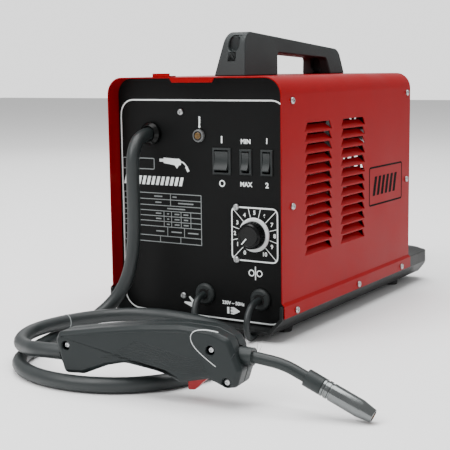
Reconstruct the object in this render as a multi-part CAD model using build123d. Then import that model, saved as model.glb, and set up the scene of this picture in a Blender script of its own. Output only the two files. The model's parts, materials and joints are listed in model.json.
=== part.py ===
from build123d import *
import os
from math import atan, cos, degrees, pi, radians, sin, tan

# A small compact wire-feed welding machine. Millimetres, +Z up, front towards -Y, +X to the
# right seen from the front. Everything is drawn about the centre of the four feet, then moved so
# the origin is on the floor under the middle of the machine and its torch together.

# ---- case
cover_width = 240.0
cover_depth = 370.0
cover_front = -222.5
cover_top = 302.0
cover_sheet = 1.2
cover_bend = 21.0
skirt_step = 3.2
skirt_bottom = 30.4
skirt_shoulder = 47.7
panel_recess = 20.0
panel_sheet = 2.0
rear_recess = 8.0
slip = 0.3
screw_hole = 2.1
# ---- base tray
foot_height = 9.5
foot_radius = 11.0
foot_x = 88.0
foot_y = 160.0
tray_front = -225.5
tray_rear = 226.5
tray_wall = 4.0
tray_flat = 104.0
tray_crease = 29.0
tray_top = 44.5
tray_corner = 22.0
# ---- louvres on the right wall: rows of trapezoid flaps pressed inwards
louvre_rows = 13
louvre_pitch = 12.0
louvre_first = 248.5
louvre_height = 10.0
louvre_top = 57.0
louvre_base = 71.0
louvre_lean = 42.0
louvre_columns = (-167.4, -72.4)
# ---- carrying handle
grip_base = 44.0
grip_top = 26.0
handle_front = -135.5
handle_rear = 142.0
handle_height = 54.0
handle_drop = 20.0
handle_bolt = 6.0
handle_slot = (20.0, 14.0)
bracket_left, bracket_right = -54.0, -30.0
# ---- front panel fittings, as heights above the floor and distances from the middle
inlet_x, inlet_z, inlet_radius = -69.5, 234.8, 14.0
lamp_x, lamp_z, lamp_radius = -1.0, 233.5, 7.6
inlet_height = 9.0
liner_radius = 3.0
inlet_mouth = 9.6
gland_radius, gland_hole, gland_height = 13.0, 6.6, 5.0
seat_depth = 1.0
earth_x, earth_z = 4.7, 44.8
mains_x, mains_z = 81.0, 45.3
switch_z = 204.5
main_switch_x, main_bezel = 29.8, (25.4, 31.5)
power_switch_x, range_switch_x, small_bezel = 62.2, 90.0, (16.3, 30.2)
rocker_tilt = 10.0
rocker_pin = 0.9
rocker_depth = 0.6
rocker_dish = 2.0
bezel_lip = 1.8
dial_x, dial_z = 73.5, 121.0
dial_width, dial_height = 63.5, 65.0
skirt_radius, knob_radius, knob_height = 20.0, 16.5, 12.0
knob_shaft = 3.0
# ---- inside
divider_x = -27.4
divider_sheet = 1.2
core_x, core_y = 47.0, 40.0
core_width, core_depth, core_height = 108.0, 60.0, 100.0
limb, window, yoke = 36.0, 20.0, 18.0
fan_x, fan_z, fan_size, fan_radius = 52.0, 215.0, 110.0, 46.0
fan_gap = 2.5
fan_thick = 25.0
roll_y, roll_radius, roll_width = -130.0, 15.0, 12.0
pressure_radius = 11.0
wire_gap = 0.9
spool_x, spool_y, spool_z = -72.0, 20.0, 150.0
spool_radius, spool_width, spool_bore = 98.0, 52.0, 26.0
bore_clearance = 0.06
# ---- side door over the wire compartment
door_front, door_rear = -170.0, 118.0
door_bottom, door_top = 62.0, 266.0
door_gap = 1.0
hinge_radius, hinge_pin, hinge_eye, hinge_strap = 3.6, 1.6, 14.0, 1.6
door_rim = 6.0
# ---- torch, in its own upright plane: distance along the plane and height above the floor
torch_x, torch_y, torch_turn = 21.4, -455.0, 6.6
torch_thick = 34.0
torch_bevel = 3.5
neck_radius = 5.5
collar_radius = 8.5
torch_lead_height = 32.0
trigger_pivot = (139.0, 35.0)
trigger_pin_radius = 1.5
nozzle_radius = 8.5
nozzle_mouth = 6.3
# ---- leads
torch_lead_size = 16.0
earth_lead_size = 8.0
mains_lead_size = 7.5

panel_face = cover_front + panel_recess
panel_back = panel_face + panel_sheet
rear_face = cover_front + cover_depth - rear_recess
rear_sheet = 1.5
cover_inside = cover_width / 2 - cover_sheet
roof = cover_top - cover_sheet
tray_side = cover_width / 2 + skirt_step - cover_sheet - slip
tray_floor = foot_height + tray_wall
divider_right = divider_x + divider_sheet

os.makedirs("parts", exist_ok=True)
pieces = {}


def keep(name, *solids):
    pieces[name] = solids[0] if len(solids) == 1 else Compound(children=list(solids))


def block(x0, x1, y0, y1, z0, z1):
    centre = ((x0 + x1) / 2, (y0 + y1) / 2, (z0 + z1) / 2)
    return Pos(*centre) * Box(x1 - x0, y1 - y0, z1 - z0)


def rod(start, along, radius, length):
    return Plane(origin=start, z_dir=along) * Cylinder(
        radius, length, align=(Align.CENTER, Align.CENTER, Align.MIN)
    )


def tube(start, along, outer, inner, length):
    return rod(start, along, outer, length) - rod(start, along, inner, length)


def outline(points):
    corners = [(p[0], p[1]) for p in points]
    radii = [p[2] if len(p) > 2 else 0 for p in points]
    return make_face(FilletPolyline(*corners, radius=radii, close=True))


def along_x(points, x0, x1):
    plane = Plane(origin=(x0, 0, 0), x_dir=(0, 1, 0), z_dir=(1, 0, 0))
    return extrude(plane * outline(points), amount=x1 - x0)


def along_y(points, y0, y1):
    plane = Plane(origin=(0, y1, 0), x_dir=(1, 0, 0), z_dir=(0, -1, 0))
    return extrude(plane * outline(points), amount=y1 - y0)


def along_z(points, z0, z1):
    return extrude(Plane.XY.offset(z0) * outline(points), amount=z1 - z0)


def pan_head(seat, out, radius=4.0, height=2.6, shank=6.0, shank_radius=1.9):
    seat = Vector(*seat)
    out = Vector(*out)
    head = rod(seat, out, radius, height)
    head = fillet(head.edges().sort_by(Axis(seat, out))[-1], height * 0.7)
    cross = Plane(origin=seat + out * (height - 1.2), z_dir=out) * (
        Pos(0, 0, 1) * (Box(radius, 0.9, 2) + Box(0.9, radius, 2))
    )
    return head - cross + rod(seat, out * -1, shank_radius, shank)


# ------------------------------------------------------------------ case
def base_tray():
    section = [
        (-tray_flat, foot_height),
        (tray_flat, foot_height),
        (tray_side, tray_crease),
        (tray_side, tray_top),
        (-tray_side, tray_top),
        (-tray_side, tray_crease),
    ]
    body = along_y(section, tray_front, tray_rear)
    rear_edges = body.edges().filter_by(Axis.Z).group_by(Axis.Y)[-1]
    body = fillet(rear_edges, tray_corner)
    inner_flat = tray_flat - tray_wall * 0.4
    inner_side = tray_side - tray_wall
    hollow = [
        (-inner_flat, tray_floor),
        (inner_flat, tray_floor),
        (inner_side, tray_crease + 1.5),
        (inner_side, tray_top + 10),
        (-inner_side, tray_top + 10),
        (-inner_side, tray_crease + 1.5),
    ]
    body -= along_y(hollow, tray_front - 10, rear_face)
    deck_under = tray_top - tray_wall
    under_deck = [(x, min(z, deck_under)) for x, z in hollow]
    body -= along_y(under_deck, rear_face - 1, tray_rear - tray_corner)
    for side in (-1, 1):
        for end in (-1, 1):
            body -= rod((side * foot_x, end * foot_y, foot_height - 1), (0, 0, 1), screw_hole, tray_wall + 2)
    return body - case_screw_holes()


def rubber_feet():
    feet = []
    for side in (-1, 1):
        for end in (-1, 1):
            foot = Pos(side * foot_x, end * foot_y, 0) * Cone(
                foot_radius * 0.85, foot_radius, foot_height, align=(Align.CENTER, Align.CENTER, Align.MIN)
            )
            stud = rod((side * foot_x, end * foot_y, foot_height), (0, 0, 1), 2.0, tray_wall + 1)
            feet.append(foot + stud)
    return feet


def cover_section(inset, bottom):
    wide = cover_width / 2 - inset
    skirt = wide + skirt_step
    top = cover_top - inset
    bend = cover_bend - inset
    shoulder = skirt_shoulder + inset * 0.4
    points = [
        (-skirt, bottom),
        (-skirt, shoulder - skirt_step),
        (-wide, shoulder),
        (-wide, top, bend),
        (wide, top, bend),
        (wide, shoulder),
        (skirt, shoulder - skirt_step),
        (skirt, bottom),
    ]
    return points


def louvre_cut(left, top):
    slope = (louvre_base - louvre_top) / 2
    points = [
        (left, top - louvre_height),
        (left + louvre_base, top - louvre_height),
        (left + louvre_base - slope, top),
        (left + slope, top),
    ]
    return along_x(points, cover_inside - 1, cover_width / 2 + 1)


def louvre_flap(left, top):
    slope = (louvre_base - louvre_top) / 2
    points = [
        (slope * 0.1, 0),
        (louvre_base - slope * 0.1, 0),
        (louvre_base - slope, louvre_height),
        (slope, louvre_height),
    ]
    flap = along_x(points, -cover_sheet, 0)
    hinge = (cover_width / 2, left, top - louvre_height)
    return Pos(*hinge) * Rot(0, -louvre_lean, 0) * flap


def wraparound_cover():
    rear = cover_front + cover_depth
    shell = along_y(cover_section(0, skirt_bottom), cover_front, rear)
    shell -= along_y(cover_section(cover_sheet, skirt_bottom - 5), cover_front - 5, rear + 5)
    flaps = []
    for left in louvre_columns:
        for row in range(louvre_rows):
            top = louvre_first - row * louvre_pitch
            shell -= louvre_cut(left, top)
            flaps.append(louvre_flap(left, top))
    shell = shell.fuse(*flaps)
    lip = [(-29, roof + 0.2), (-25.5, cover_top - 6.2), (29.5, cover_top - 6.2), (33, roof + 0.2)]
    shell += along_y(lip, cover_front, cover_front + cover_sheet)
    doorway = block(-cover_width, -cover_inside + 2, door_front, door_rear, door_bottom, door_top)
    shell -= doorway
    for end in handle_bolt_places():
        shell -= rod((0, end, roof - 3), (0, 0, 1), handle_bolt / 2 + slip, 8)
    shell -= rod((*bracket_screw(), roof - 1), (0, 0, 1), screw_hole, 5)
    return shell - case_screw_holes()


def side_door():
    outer = -cover_width / 2
    inner = outer + cover_sheet
    front, rear = door_front + door_gap, door_rear - door_gap
    low, high = door_bottom + door_gap, door_top - door_gap
    panel = block(outer, inner, front, rear, low, high)
    rim = block(inner, inner + door_rim, front, rear - 5, low, high)
    rim -= block(
        outer,
        outer + 20,
        front + cover_sheet,
        rear - 5 - cover_sheet,
        low + cover_sheet,
        high - cover_sheet,
    )
    door = panel + rim
    for eye_low in hinge_heights():
        door += block(outer - hinge_strap, outer, rear - 26, rear + 0.4, eye_low, eye_low + hinge_eye)
        door += rod(hinge_point(eye_low), (0, 0, 1), hinge_radius, hinge_eye)
        door -= rod(hinge_point(eye_low - 1), (0, 0, 1), hinge_pin + bore_clearance, hinge_eye + 2)
    return door - rod(latch_point(), (1, 0, 0), 4.0 + bore_clearance, 12)


def hinge_heights():
    return (door_bottom + 30, door_top - 44)


def hinge_point(height):
    return (-cover_width / 2 - hinge_radius - slip, door_rear + 0.8, height)


def latch_point():
    return (-cover_width / 2, door_front + 18, (door_bottom + door_top) / 2)


def door_hinges():
    solids = []
    outer = -cover_width / 2
    side_eye = hinge_eye - 2
    for eye_low in hinge_heights():
        below = eye_low - slip - side_eye
        above = eye_low + hinge_eye + slip
        hinge = rod(hinge_point(below), (0, 0, 1), hinge_pin, above + side_eye - below)
        for start in (below, above):
            hinge += rod(hinge_point(start), (0, 0, 1), hinge_radius, side_eye)
            hinge += block(
                outer - hinge_strap, outer, door_rear + 0.4, door_rear + 18, start, start + side_eye
            )
        solids.append(hinge)
    return solids


def door_latch():
    centre = Vector(*latch_point())
    gap = Vector(slip, 0, 0)
    shaft = rod(centre - gap, (1, 0, 0), 4.0, 9)
    head = rod(centre - gap - Vector(5, 0, 0), (1, 0, 0), 11, 5)
    wing = Pos(centre.X - 8.5, centre.Y, centre.Z) * Box(7, 5, 19)
    cam = Pos(centre.X + 9.5, centre.Y, centre.Z) * Box(2.5, 16, 6)
    return shaft + head + wing + cam


def top_bracket():
    low = cover_top
    front = cover_front + 2
    plate = block(bracket_left, bracket_right, front, front + 14, low, low + 1.6)
    plate += block(bracket_left, bracket_right, front, front + 1.6, low, low + 4.5)
    return plate - rod((*bracket_screw(), low - 1), (0, 0, 1), screw_hole, 5)


def case_screw_holes():
    holes = []
    for seat, out in case_screw_seats():
        out = Vector(*out)
        holes.append(rod(Vector(*seat) + out * 2, out * -1, screw_hole, 12))
    return Compound(children=holes)


def bracket_screw():
    return bracket_left + 8, cover_front + 10


def case_screw_seats():
    wide = cover_width / 2
    skirt = wide + skirt_step
    seats = []
    for side in (-1, 1):
        for along in (cover_front + 25, cover_front + cover_depth - 12):
            seats.append(((side * wide, along, 275), (side, 0, 0)))
            seats.append(((side * wide, along, 156), (side, 0, 0)))
        for along in (cover_front + 29, cover_front + 197, cover_front + 337):
            seats.append(((side * skirt, along, 36), (side, 0, 0)))
    return seats


def panel_screw_seats():
    face = panel_face
    return [
        ((divider_x + 0.6, face, 261), (0, -1, 0)),
        ((divider_x + 0.6, face, 39.5), (0, -1, 0)),
        ((dial_x - 24, face - 1.0, dial_z + 31), (0, -1, 0)),
        ((dial_x - 24, face - 1.0, dial_z - 31), (0, -1, 0)),
    ]


def case_screws():
    screws = [pan_head(seat, out, shank=4) for seat, out in case_screw_seats()]
    screws += [pan_head(seat, out, shank=2.5) for seat, out in panel_screw_seats()]
    screws.append(pan_head((*bracket_screw(), cover_top + 1.6), (0, 0, 1), shank=2.6))
    return screws


def panel_outline(margin):
    wide = cover_inside - margin
    bend = cover_bend - cover_sheet - margin
    low = tray_floor + margin
    tray_inside = tray_side - tray_wall - margin
    flat = tray_flat - tray_wall * 0.4 - margin
    return [
        (-flat, low),
        (flat, low),
        (tray_inside, tray_crease + 1.5),
        (tray_inside, tray_top + slip),
        (wide, skirt_shoulder + 1),
        (wide, roof - margin, bend),
        (-wide, roof - margin, bend),
        (-wide, skirt_shoulder + 1),
        (-tray_inside, tray_top + slip),
        (-tray_inside, tray_crease + 1.5),
    ]


def front_panel():
    panel = along_y(panel_outline(slip), panel_face, panel_back)
    panel -= rod((inlet_x, panel_face - 5, inlet_z), (0, 1, 0), inlet_radius - 3, 20)
    panel -= rod((lamp_x, panel_face - 5, lamp_z), (0, 1, 0), lamp_radius - 1.6, 20)
    for x, z in ((earth_x, earth_z), (mains_x, mains_z)):
        panel -= rod((x, panel_face - 5, z), (0, 1, 0), gland_radius - 3, 20)
    for x, bezel in switch_places():
        wide, tall = switch_hole(bezel)
        panel -= Pos(x, panel_face, switch_z) * Box(wide, 20, tall)
    panel -= rod((dial_x, panel_face - 5, dial_z), (0, 1, 0), 5.0, 20)
    for seat, out in panel_screw_seats():
        panel -= rod((seat[0], panel_face - 1, seat[2]), (0, 1, 0), screw_hole, 20)
    return panel


def rear_panel():
    panel = along_y(panel_outline(slip), rear_face - rear_sheet, rear_face)
    slot_count = 9
    for index in range(slot_count):
        offset = (index - (slot_count - 1) / 2) * 10
        half = (fan_radius**2 - offset**2) ** 0.5
        panel -= block(
            fan_x + offset - 3, fan_x + offset + 3, rear_face - 9, rear_face + 9, fan_z - half, fan_z + half
        )
    panel -= rod((inlet_x, rear_face - 9, 92), (0, 1, 0), 5.2, 18)
    return panel


def divider_plate():
    low = tray_floor
    plate = block(divider_x, divider_right, panel_back, rear_face - rear_sheet, low, roof - 2)
    plate -= rod((divider_x - 5, roll_y, roll_axis_z()), (1, 0, 0), 16, 12)
    plate += block(divider_x, divider_x + 14, panel_back, rear_face - rear_sheet, low, low + 1.2)
    for seat, out in panel_screw_seats()[:2]:
        plate -= rod((seat[0], panel_back - 1, seat[2]), (0, 1, 0), screw_hole, 3)
    return plate


def carry_handle():
    base = cover_top
    top = base + handle_height
    profile = [
        (handle_front, base),
        (handle_front + 16, top + 1, 20),
        (handle_rear - 8, top - handle_drop, 14),
        (handle_rear, base),
    ]
    section = [
        (-grip_base / 2, base),
        (grip_base / 2, base),
        (grip_top / 2, top + 3),
        (-grip_top / 2, top + 3),
    ]
    body = along_x(profile, -grip_base, grip_base) & along_y(section, handle_front - 5, handle_rear + 5)
    hole = [
        (handle_front + 83, base - 1),
        (handle_front + 91, base + 28.5, 7),
        (handle_rear - 50, base + 22, 7),
        (handle_rear - 44, base - 1),
    ]
    body -= along_x(hole, -grip_base, grip_base)
    for start, height in ((handle_front + 4, base + 39), (handle_rear - 50, base + 13)):
        slot = extrude(SlotOverall(*handle_slot, rotation=90), 9, both=True)
        body -= Pos(0, start + 4, height) * Rot(90, 0, 0) * slot
        body -= Pos(0, start + 4, height - 15.5) * Box(7.5, 18, 8)
    for end in handle_bolt_places():
        body -= rod((0, end, base - 1), (0, 0, 1), handle_bolt / 2, 22)
    return body


def handle_bolt_places():
    return handle_front + 26, handle_rear - 16


def handle_bolts():
    bolts = []
    for end in handle_bolt_places():
        shaft = rod((0, end, roof), (0, 0, 1), handle_bolt / 2 - 0.05, 20)
        bolts.append(shaft + rod((0, end, roof - 4), (0, 0, 1), 5, 4))
    return bolts


# ------------------------------------------------------------------ front panel fittings
def roll_axis_z():
    return inlet_z - wire_gap / 2 - roll_radius


def switch_places():
    return (
        (main_switch_x, main_bezel),
        (power_switch_x, small_bezel),
        (range_switch_x, small_bezel),
    )


def switch_hole(bezel):
    return bezel[0] - 3.4, bezel[1] - 3.4


# a ring round the hole in the panel with a blind seat the lead is bonded into
def bushing(x, z, radius, hole, height):
    ring = rod((x, panel_face - height, z), (0, 1, 0), radius, height)
    ring = chamfer(ring.edges().sort_by(Axis.Y)[0], height * 0.45)
    ring += rod((x, panel_face, z), (0, 1, 0), radius - 3.2, panel_sheet)
    ring += rod((x, panel_back, z), (0, 1, 0), radius - 1.5, 5)
    return ring - rod((x, panel_face - height - 1, z), (0, 1, 0), hole, height + seat_depth + 1)


def torch_inlet_bush():
    bush = bushing(inlet_x, inlet_z, inlet_radius, torch_lead_size / 2 + 0.1, inlet_height)
    front = panel_face - inlet_height
    bush -= rod((inlet_x, front - 1, inlet_z), (0, 1, 0), inlet_mouth, inlet_height - 1)
    return bush - rod((inlet_x, front, inlet_z), (0, 1, 0), liner_radius, inlet_height + 20)


def switch_body(x, bezel):
    wide, tall = bezel
    hole_wide, hole_tall = switch_hole(bezel)
    frame = Pos(x, panel_face - bezel_lip / 2, switch_z) * Box(wide, bezel_lip, tall)
    frame = chamfer(frame.faces().sort_by(Axis.Y)[0].edges(), bezel_lip * 0.5)
    body = block(
        x - hole_wide / 2 + 0.2,
        x + hole_wide / 2 - 0.2,
        panel_face,
        panel_back + 22,
        switch_z - hole_tall / 2 + 0.2,
        switch_z + hole_tall / 2 - 0.2,
    )
    cup_wide, cup_tall = rocker_window(bezel)
    cup = block(
        x - cup_wide / 2,
        x + cup_wide / 2,
        panel_face - 10,
        panel_back + 9,
        switch_z - cup_tall / 2,
        switch_z + cup_tall / 2,
    )
    tabs = block(x - 1, x + 1, panel_back + 20, panel_back + 30, switch_z - 8, switch_z - 2)
    tabs += block(x - 1, x + 1, panel_back + 20, panel_back + 30, switch_z + 2, switch_z + 8)
    pin = rod((x - cup_wide / 2 - 1, panel_face + rocker_depth, switch_z), (1, 0, 0), rocker_pin, cup_wide + 2)
    return frame + body - cup + tabs + pin


def rocker_window(bezel):
    return bezel[0] - 6.0, bezel[1] - 5.4


def rocker(x, bezel):
    cup_wide, cup_tall = rocker_window(bezel)
    half = cup_tall / 2 - 1.1
    wide = cup_wide / 2 - 0.4
    shape = [
        (-5.2, half - 0.4, 1),
        (-1.3, 0, half * rocker_dish),
        (-5.2, -half + 0.4, 1),
        (6, -half * 0.72),
        (6, half * 0.72),
    ]
    cap = along_x(shape, -wide, wide)
    cap -= rod((-wide - 1, 0, 0), (1, 0, 0), rocker_pin + bore_clearance, 2 * wide + 2)
    return Pos(x, panel_face + rocker_depth, switch_z) * Rot(-rocker_tilt, 0, 0) * cap


def lamp_bezel():
    face = panel_face
    ring = rod((lamp_x, face - 4, lamp_z), (0, 1, 0), lamp_radius, 4)
    ring = fillet(ring.edges().sort_by(Axis.Y)[0], 1.5)
    ring += rod((lamp_x, face, lamp_z), (0, 1, 0), lamp_radius - 1.8, 24)
    return ring - rod((lamp_x, face - 5, lamp_z), (0, 1, 0), lamp_radius - 3.0, 16)


def lamp_lens():
    lens = rod((lamp_x, panel_face - 4.6, lamp_z), (0, 1, 0), lamp_radius - 3.05, 14)
    return fillet(lens.edges().sort_by(Axis.Y)[0], 1.6)


def dial_plate():
    half_wide = dial_width / 2
    half_tall = dial_height / 2
    points = [
        (dial_x - half_wide, dial_z - half_tall, 8),
        (dial_x + half_wide, dial_z - half_tall, 8),
        (dial_x + half_wide, dial_z + half_tall, 8),
        (dial_x - half_wide, dial_z + half_tall, 8),
    ]
    plate = along_y(points, panel_face - 1.0, panel_face)
    plate -= rod((dial_x, panel_face - 5, dial_z), (0, 1, 0), 5.0, 20)
    for seat, out in panel_screw_seats()[2:]:
        plate -= rod((seat[0], panel_face - 5, seat[2]), (0, 1, 0), screw_hole, 20)
    return plate


def dial_knob():
    face = panel_face - 1.3
    skirt = rod((dial_x, face - 2.6, dial_z), (0, 1, 0), skirt_radius, 2.6)
    skirt = chamfer(skirt.edges().sort_by(Axis.Y)[0], 1.2)
    grip = rod((dial_x, face - 2.6 - knob_height, dial_z), (0, 1, 0), knob_radius, knob_height)
    grip = chamfer(grip.edges().sort_by(Axis.Y)[0], 1.6)
    flutes = 12
    for index in range(flutes):
        angle = 2 * pi * index / flutes
        reach = knob_radius + 2.2
        place = (dial_x + reach * cos(angle), face - 2.6 - knob_height, dial_z + reach * sin(angle))
        grip -= rod(place, (0, 1, 0), 3.2, knob_height - 1.5)
    bore = rod((dial_x, face - 9, dial_z), (0, 1, 0), knob_shaft, 10)
    return skirt - bore, grip - bore


def potentiometer():
    can = rod((dial_x, panel_back, dial_z), (0, 1, 0), 12, 10)
    neck = rod((dial_x, panel_face - 0.6, dial_z), (0, 1, 0), 4.6, panel_sheet + 0.6)
    lugs = block(dial_x - 8, dial_x + 8, panel_back + 3, panel_back + 4.5, dial_z - 19, dial_z - 11)
    bore = rod((dial_x, panel_face - 5, dial_z), (0, 1, 0), knob_shaft + bore_clearance, 12)
    return can + neck + lugs - bore


def potentiometer_shaft():
    return rod((dial_x, panel_face - 9, dial_z), (0, 1, 0), knob_shaft, 14)


# ------------------------------------------------------------------ power section
def transformer_core():
    low = tray_floor
    core = block(
        core_x - core_width / 2,
        core_x + core_width / 2,
        core_y - core_depth / 2,
        core_y + core_depth / 2,
        low,
        low + core_height,
    )
    for side in (-1, 1):
        middle = core_x + side * (limb + window) / 2
        core -= block(
            middle - window / 2,
            middle + window / 2,
            core_y - core_depth,
            core_y + core_depth,
            low + yoke,
            low + core_height - yoke,
        )
    return core


def transformer_windings():
    low = tray_floor + yoke + 1
    high = tray_floor + core_height - yoke - 1
    middle = (low + high) / 2
    coils = []
    for bottom, top in ((low, middle - 0.5), (middle + 0.5, high)):
        reach_x = limb / 2 + window - 1
        reach_y = core_depth / 2 + window
        points = [
            (core_x - reach_x, core_y - reach_y, 12),
            (core_x + reach_x, core_y - reach_y, 12),
            (core_x + reach_x, core_y + reach_y, 12),
            (core_x - reach_x, core_y + reach_y, 12),
        ]
        coil = along_z(points, bottom, top)
        coil -= block(
            core_x - limb / 2 - slip,
            core_x + limb / 2 + slip,
            core_y - core_depth / 2 - slip,
            core_y + core_depth / 2 + slip,
            bottom - 1,
            top + 1,
        )
        coils.append(coil)
    return coils


def rectifier():
    plate = block(76, 79, -75, -20, tray_floor, 200)
    for index in range(8):
        low = 132 + index * 8.5
        plate += block(79, 108, -75, -20, low, low + 2)
    for index in range(4):
        spot = (70, -64 + index * 11, 166)
        plate += rod(spot, (1, 0, 0), 4.5, 6)
    return plate


def choke():
    low = tray_floor
    rod_z = low + 34
    core = rod((4, -92, rod_z), (1, 0, 0), 12, 66)
    core += block(4, 8, -112, -72, low, low + 62)
    core += block(66, 70, -112, -72, low, low + 62)
    coil = tube((9, -92, rod_z), (1, 0, 0), 27, 12 + slip, 56)
    return core, coil


def fan_frame():
    back = rear_face - rear_sheet
    half = fan_size / 2
    frame = block(fan_x - half, fan_x + half, back - fan_thick, back, fan_z - half, fan_z + half)
    frame -= rod((fan_x, back - fan_thick - 1, fan_z), (0, 1, 0), fan_radius + fan_gap, fan_thick + 2)
    front = back - fan_thick
    for turn in (45, 135):
        spoke = Box(fan_size, 3, 8)
        frame += Pos(fan_x, front + 1.5, fan_z) * Rot(0, turn, 0) * spoke
    frame += rod((fan_x, front, fan_z), (0, 1, 0), 18, 3)
    frame -= rod((fan_x, front - 1, fan_z), (0, 1, 0), 4, 6)
    return frame


def fan_motor():
    front = rear_face - rear_sheet - fan_thick
    motor = rod((fan_x, front - 28, fan_z), (0, 1, 0), 20, 28)
    return motor + rod((fan_x, front, fan_z), (0, 1, 0), 2, 18)


def fan_rotor():
    front = rear_face - rear_sheet - fan_thick
    start = front + 5
    hub = rod((fan_x, start, fan_z), (0, 1, 0), 14, 15)
    blades = 5
    for index in range(blades):
        blade = Pos(29, 0, 0) * Rot(32, 0, 0) * Box(33, 2, 21)
        hub += Pos(fan_x, start + 7.5, fan_z) * Rot(0, index * 360 / blades, 0) * blade
    hub &= rod((fan_x, start - 2, fan_z), (0, 1, 0), fan_radius, 19)
    return hub - rod((fan_x, start - 3, fan_z), (0, 1, 0), 2 + bore_clearance, 16)


def control_board():
    left = divider_right + 9
    board = block(left, left + 1.6, -75, 25, 160, 250)
    for along in (-69, 19):
        for height in (166, 244):
            board += rod((divider_right, along, height), (1, 0, 0), 3, 9)
    board += block(left + 1.6, left + 19, -66, -46, 180, 210)
    for index in range(3):
        board += rod((left + 1.6, -28 + index * 18, 222), (1, 0, 0), 6.5, 22)
    board += block(left + 1.6, left + 12, -32, 14, 172, 196)
    return board


# ------------------------------------------------------------------ wire compartment
def feed_plate():
    axis_z = roll_axis_z()
    left = divider_x - 24
    plate = block(left, divider_x, roll_y - 40, roll_y + 36, axis_z - 30, axis_z + 14)
    plate -= rod((left - 1, roll_y, axis_z), (1, 0, 0), 6, 30)
    pivot = rod((left - 28, roll_y - 32, pressure_axis_z()), (1, 0, 0), 3.0, 28)
    post = block(left, divider_x, roll_y - 40, roll_y - 24, axis_z + 14, pressure_axis_z() + 7)
    guide = rod((inlet_x, roll_y + 18, inlet_z), (0, 1, 0), 3, 16)
    guide += block(inlet_x - 4, left, roll_y + 22, roll_y + 32, axis_z + 2, inlet_z + 4)
    guide -= rod((inlet_x, roll_y + 17, inlet_z), (0, 1, 0), 1, 18)
    return plate + pivot + post + guide


def pressure_axis_z():
    return inlet_z + wire_gap / 2 + pressure_radius


def feed_motor():
    axis_z = roll_axis_z()
    start = divider_right
    motor = rod((start, roll_y, axis_z), (1, 0, 0), 24, 22)
    motor += rod((start + 22, roll_y, axis_z), (1, 0, 0), 19, 44)
    return motor


def drive_roll():
    axis_z = roll_axis_z()
    left = inlet_x - roll_width / 2
    roll = rod((left, roll_y, axis_z), (1, 0, 0), roll_radius, roll_width)
    groove = tube((inlet_x - 0.6, roll_y, axis_z), (1, 0, 0), roll_radius + 1, roll_radius - 0.5, 1.2)
    shaft = rod((left + roll_width, roll_y, axis_z), (1, 0, 0), 5, divider_right - left - roll_width - 0.3)
    knob = rod((left - 6, roll_y, axis_z), (1, 0, 0), 8, 6)
    return roll - groove + shaft + knob


def pressure_arm():
    axis_z = pressure_axis_z()
    pivot_y = roll_y - 32
    end_y = roll_y + 34
    left = inlet_x - 9
    arm = block(left - 5, left, pivot_y - 6, end_y, axis_z - 6, axis_z + 6)
    arm += block(left, inlet_x + 9, roll_y + 14, end_y, axis_z + 1, axis_z + 6)
    arm -= block(inlet_x - 3.4, inlet_x + 3.4, roll_y + 18, end_y + 1, axis_z, axis_z + 7)
    arm -= rod((left - 10, pivot_y, axis_z), (1, 0, 0), 3.0 + bore_clearance, 20)
    arm += rod((left - 1, roll_y, axis_z), (1, 0, 0), 3, 16)
    return arm


def pressure_roll():
    axis_z = pressure_axis_z()
    left = inlet_x - roll_width / 2 + 1
    roll = rod((left, roll_y, axis_z), (1, 0, 0), pressure_radius, roll_width - 2)
    return roll - rod((left - 1, roll_y, axis_z), (1, 0, 0), 3.0 + bore_clearance, roll_width)


def tension_pivot_z():
    return inlet_z + 7


def tension_screw():
    axis_z = pressure_axis_z()
    spot = roll_y + 26
    low = tension_pivot_z()
    stud = rod((inlet_x, spot, low), (0, 0, 1), 2.4, axis_z + 30 - low)
    foot = rod((inlet_x - 4, spot, low), (1, 0, 0), 2.6, 8)
    knob = rod((inlet_x, spot, axis_z + 24), (0, 0, 1), 9, 14)
    knob = fillet(knob.edges().sort_by(Axis.Z)[-1], 3)
    spring = tube((inlet_x, spot, axis_z + 11), (0, 0, 1), 5, 2.2, 13.2)
    return stud + foot + knob + spring


def spool_hub():
    left = spool_x - spool_width / 2
    axle = rod((left - 4, spool_y, spool_z), (1, 0, 0), spool_bore - bore_clearance, spool_width + 4)
    axle -= rod((left - 5, spool_y, spool_z), (1, 0, 0), spool_bore - 4, spool_width)
    post = rod((left + spool_width, spool_y, spool_z), (1, 0, 0), 12, divider_x - left - spool_width)
    return axle + post


def wire_spool():
    left = spool_x - spool_width / 2
    body = tube((left, spool_y, spool_z), (1, 0, 0), 36, spool_bore, spool_width)
    for start in (left, left + spool_width - 3):
        body += tube((start, spool_y, spool_z), (1, 0, 0), spool_radius, spool_bore, 3)
    for index in range(6):
        angle = index * pi / 3
        spot = (left - 1, spool_y + 84 * cos(angle), spool_z + 84 * sin(angle))
        body -= rod(spot, (1, 0, 0), 6, spool_width + 2)
    return body


def spool_wire():
    left = spool_x - spool_width / 2
    return tube((left + 3, spool_y, spool_z), (1, 0, 0), 76, 36, spool_width - 6)


def gas_inlet():
    y = rear_face
    barb = rod((inlet_x, y, 92), (0, 1, 0), 8, 4) + rod((inlet_x, y - 18, 92), (0, 1, 0), 5, 18)
    for index in range(3):
        barb += Plane(origin=(inlet_x, y + 4 + index * 5, 92), z_dir=(0, 1, 0)) * Cone(
            4.5, 3.2, 5, align=(Align.CENTER, Align.CENTER, Align.MIN)
        )
    return barb - rod((inlet_x, y - 20, 92), (0, 1, 0), 1.8, 42)


# ------------------------------------------------------------------ torch
torch_plane = Plane(
    origin=(torch_x, torch_y, 0),
    x_dir=(cos(radians(torch_turn)), sin(radians(torch_turn)), 0),
    z_dir=(sin(radians(torch_turn)), -cos(radians(torch_turn)), 0),
)


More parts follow.
